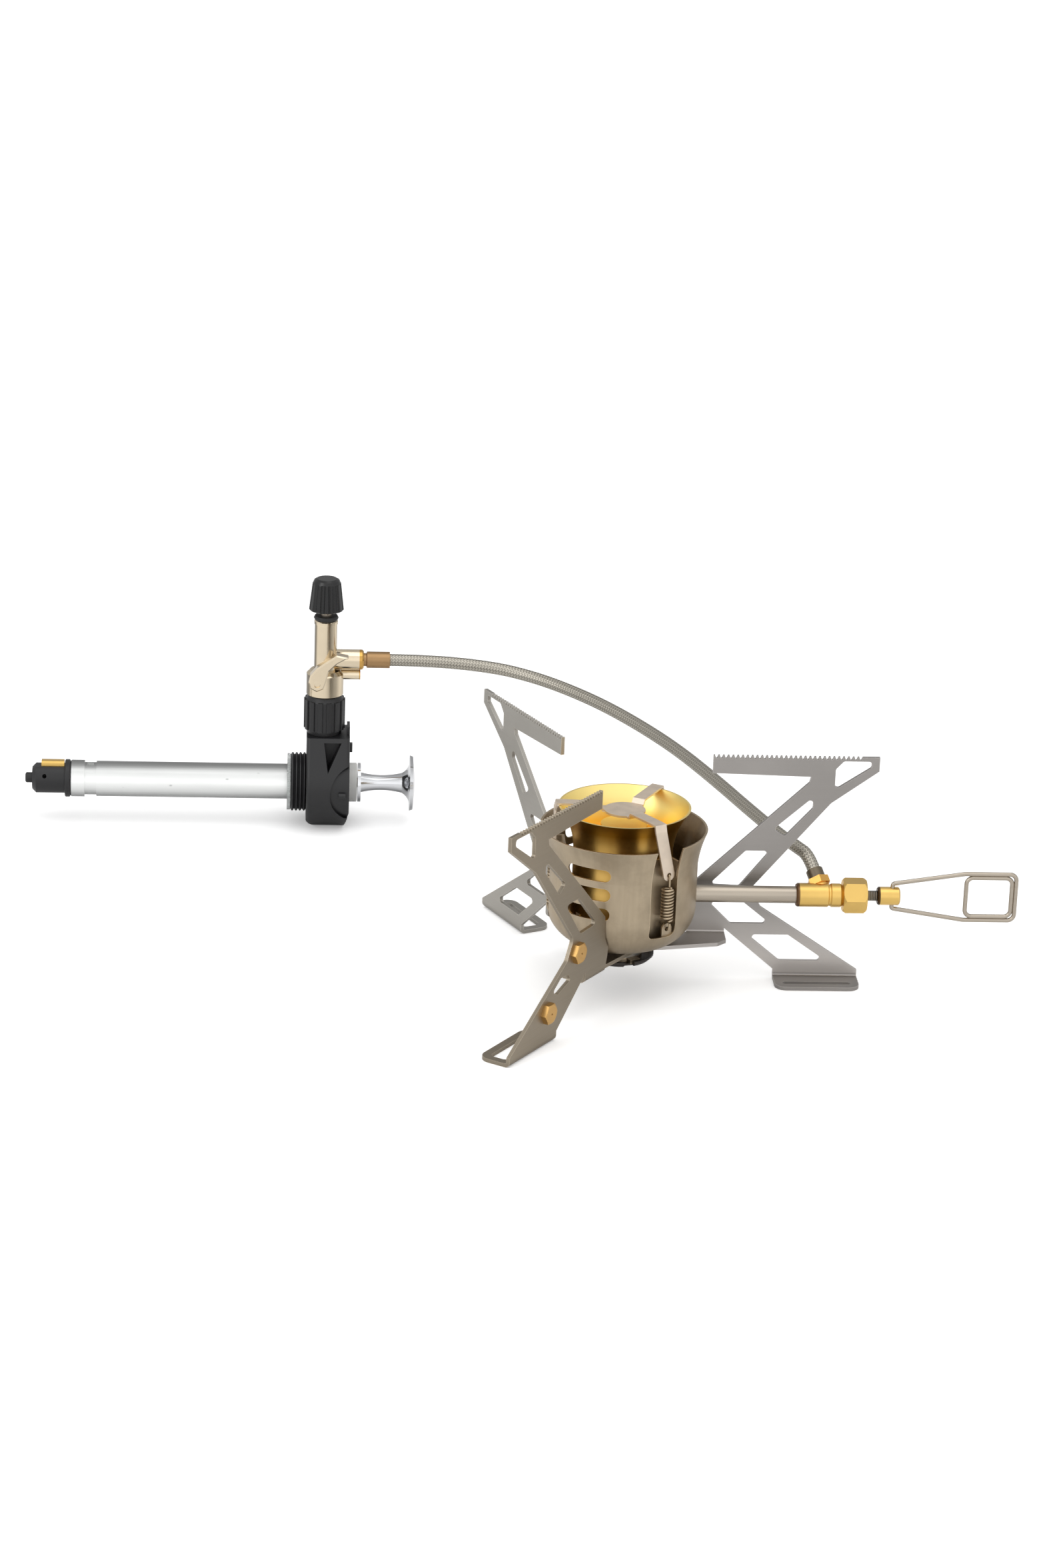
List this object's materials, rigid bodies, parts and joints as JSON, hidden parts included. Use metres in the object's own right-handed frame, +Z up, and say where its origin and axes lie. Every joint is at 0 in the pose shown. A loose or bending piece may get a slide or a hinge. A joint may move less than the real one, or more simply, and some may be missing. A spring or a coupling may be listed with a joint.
{
  "type": "camping stove",
  "caption": "folding camping stove with a brass burner in a steel wind cup, swinging toothed legs, wire valve handle, braided fuel hose and a plunger fuel pump",
  "frame": {"origin": "bottom centre of the box round everything but the hose, on the table", "axes": "+X along the fuel tube towards the wire handle, +Y away from the viewer towards the pump, +Z up"},
  "size_m": [0.3938, 0.2848, 0.1081],
  "materials": {
    "leg_steel": "stamped and lightly brushed stainless steel",
    "cup_steel": "spun stainless steel with a warm grey brushed finish",
    "bright_steel": "plain bright steel",
    "spring_steel": "close-wound spring wire",
    "burner_brass": "gold-coloured brushed burner brass",
    "fitting_brass": "clean machined brass",
    "jet_brass": "slightly dull brass",
    "ferrule_bronze": "copper-coloured crimped sleeve",
    "nickel_brass": "pale nickel-coloured cast brass",
    "dark_steel": "dark heat-stained steel",
    "fibre": "woven fibre pad",
    "braid": "fine braided steel wire sleeve",
    "black_nylon": "black moulded nylon, satin",
    "white_nylon": "white moulded bush",
    "clear_seal": "clear sealing washer",
    "pump_aluminium": "satin drawn aluminium",
    "handle_aluminium": "polished turned aluminium",
    "black_rubber": "black rubber",
    "leather": "oiled leather cup"
  },
  "bodies": {
    "stove_and_pump": {"wind_cup": "cup_steel", "burner_bell": "burner_brass", "flame_ring": "burner_brass", "mixing_tube": "burner_brass", "flame_spreader": "cup_steel", "clip_springs": "spring_steel", "spring_hooks": "spring_steel", "hub_plate": "cup_steel", "priming_dish": "dark_steel", "hub_screw": "bright_steel", "hub_nut": "bright_steel", "priming_pad": "fibre", "fixed_leg": "leg_steel", "main_jet": "jet_brass", "jet_block": "burner_brass", "fuel_tube": "bright_steel", "valve_block": "fitting_brass", "hose_port": "fitting_brass", "stove_ferrule": "ferrule_bronze", "gland_nut": "fitting_brass", "gland_packing": "black_rubber", "fuel_hose": "braid", "pump_ferrule": "ferrule_bronze", "valve_body": "nickel_brass", "valve_o_ring": "black_rubber", "pump_head": "black_nylon", "bottle_seal": "clear_seal", "pump_barrel": "pump_aluminium", "barrel_sleeve": "pump_aluminium", "check_ball": "bright_steel", "check_spring": "spring_steel", "cap_ring": "black_nylon", "end_cap": "black_nylon", "fuel_inlet": "fitting_brass", "rod_guide": "white_nylon"},
    "front_leg": {"front_leg": "leg_steel", "spare_jets": "jet_brass"},
    "rear_leg": {"rear_leg": "leg_steel"},
    "flame_control": {"flame_spindle": "bright_steel", "handle_coupler": "fitting_brass"},
    "wire_handle": {"wire_handle": "bright_steel"},
    "plunger": {"plunger_handle": "handle_aluminium", "plunger_rod": "bright_steel", "piston_cup": "leather", "piston_nut": "bright_steel"},
    "pump_valve": {"valve_spindle": "bright_steel", "valve_knob": "black_nylon"},
    "coupling": {"coupling_collar": "black_nylon"}
  },
  "joints": [
    {"name": "front_leg_swing", "type": "hinge", "parent": "stove_and_pump", "child": "front_leg", "pos_m": [0.04263, -0.05591, 0.015], "axis": [0, 0, 1], "range_deg": [0, 90]},
    {"name": "rear_leg_swing", "type": "hinge", "parent": "stove_and_pump", "child": "rear_leg", "pos_m": [0.04263, -0.05591, 0.015], "axis": [0, 0, 1], "range_deg": [-100, 0]},
    {"name": "flame_valve_turn", "type": "hinge", "parent": "stove_and_pump", "child": "flame_control", "pos_m": [0.14793, -0.05591, 0.0384], "axis": [1, 0, 0], "range_deg": [0, 810]},
    {"name": "handle_fold", "type": "hinge", "parent": "flame_control", "child": "wire_handle", "pos_m": [0.14793, -0.05591, 0.0384], "axis": [0, 0, 1], "range_deg": [-90, 90]},
    {"name": "plunger_pull", "type": "slide", "parent": "stove_and_pump", "child": "plunger", "axis": [1, 0, 0], "range_m": [0, 0.068]},
    {"name": "pump_valve_turn", "type": "hinge", "parent": "stove_and_pump", "child": "pump_valve", "pos_m": [-0.07078, 0.12399, 0.06], "axis": [0, 0, 1], "range_deg": [0, 990]},
    {"name": "coupling_turn", "type": "hinge", "parent": "stove_and_pump", "child": "coupling", "pos_m": [-0.07078, 0.12399, 0.06], "axis": [0, 0, 1], "range_deg": [0, 810]}
  ]
}
